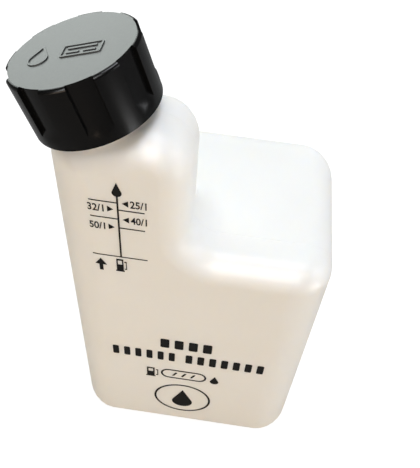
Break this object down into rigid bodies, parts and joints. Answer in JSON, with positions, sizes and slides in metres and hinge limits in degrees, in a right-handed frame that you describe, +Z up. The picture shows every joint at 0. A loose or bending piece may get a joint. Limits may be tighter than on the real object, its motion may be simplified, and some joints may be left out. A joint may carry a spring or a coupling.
{
  "type": "fuel mixing bottle",
  "caption": "Blow-moulded translucent bottle for mixing fuel and oil, with an offset measuring column, a tilted threaded neck and a scalloped screw cap with a gasket.",
  "frame": {"origin": "under the middle of the whole object, on the surface that it stands on", "axes": "+Z up, the printed front faces -Y, +X runs from the measuring column's side to the other side"},
  "size_m": [0.1144, 0.086, 0.2092],
  "materials": {
    "bottle_plastic": "translucent natural polyethylene, satin",
    "cap_plastic": "black moulded plastic, semi-gloss sides and a fine matte top",
    "gasket_rubber": "cut black rubber sheet"
  },
  "bodies": {
    "bottle": {"bottle": "bottle_plastic"},
    "gasket": {"gasket": "gasket_rubber"},
    "cap": {"cap": "cap_plastic"}
  },
  "joints": [
    {"name": "cap_rise", "type": "slide", "parent": "bottle", "child": "gasket", "axis": [-0.309, 0, 0.9511], "range_m": [0, 0.01]},
    {"name": "cap_turn", "type": "hinge", "parent": "gasket", "child": "cap", "pos_m": [-0.0294, -0.02155, 0.179], "axis": [-0.309, 0, 0.9511], "range_deg": [0, 900]}
  ],
  "couplings": [
    {"joint": "cap_rise", "follows": "cap_turn", "m_per_rad": 0.00063661}
  ]
}
